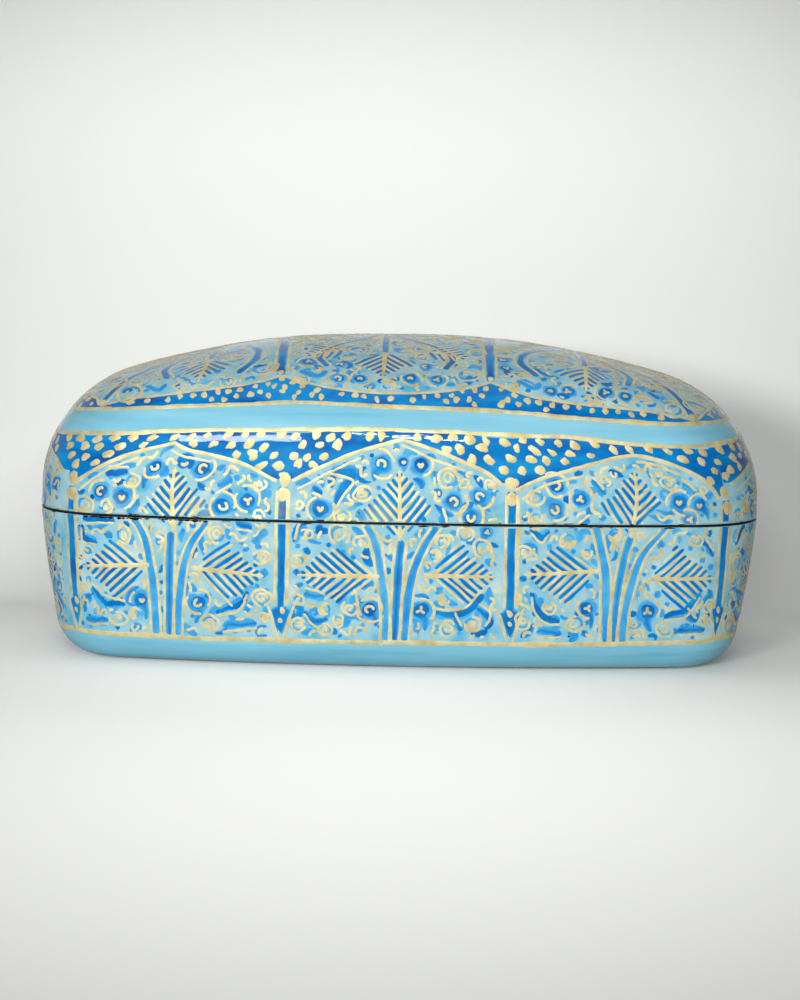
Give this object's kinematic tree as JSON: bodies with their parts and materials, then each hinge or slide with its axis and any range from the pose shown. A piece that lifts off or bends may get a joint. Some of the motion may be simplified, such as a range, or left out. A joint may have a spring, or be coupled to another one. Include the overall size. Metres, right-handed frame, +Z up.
{
  "type": "lidded box",
  "caption": "Oblong painted paper-pulp box with a leaning-sided base, a deep domed lift-off lid and a collar inside that locates the lid.",
  "frame": {"origin": "on the table, under the middle of the closed box", "axes": "+X along the box's length, to the right in the picture; +Y towards its back; +Z up"},
  "size_m": [0.229, 0.114, 0.1018],
  "materials": {
    "painted_pulp": "gloss",
    "black_paper": "satin",
    "black_card": "satin"
  },
  "bodies": {
    "base": {"base_shell": "painted_pulp", "base_rim_edging": "black_paper", "base_sole": "black_paper", "collar": "black_card"},
    "lid": {"lid_shell": "painted_pulp", "lid_rim_edging": "black_paper"}
  },
  "joints": [
    {"name": "lid_lift", "type": "slide", "parent": "base", "child": "lid", "axis": [0, 0, 1], "range_m": [0, 0.1]}
  ]
}
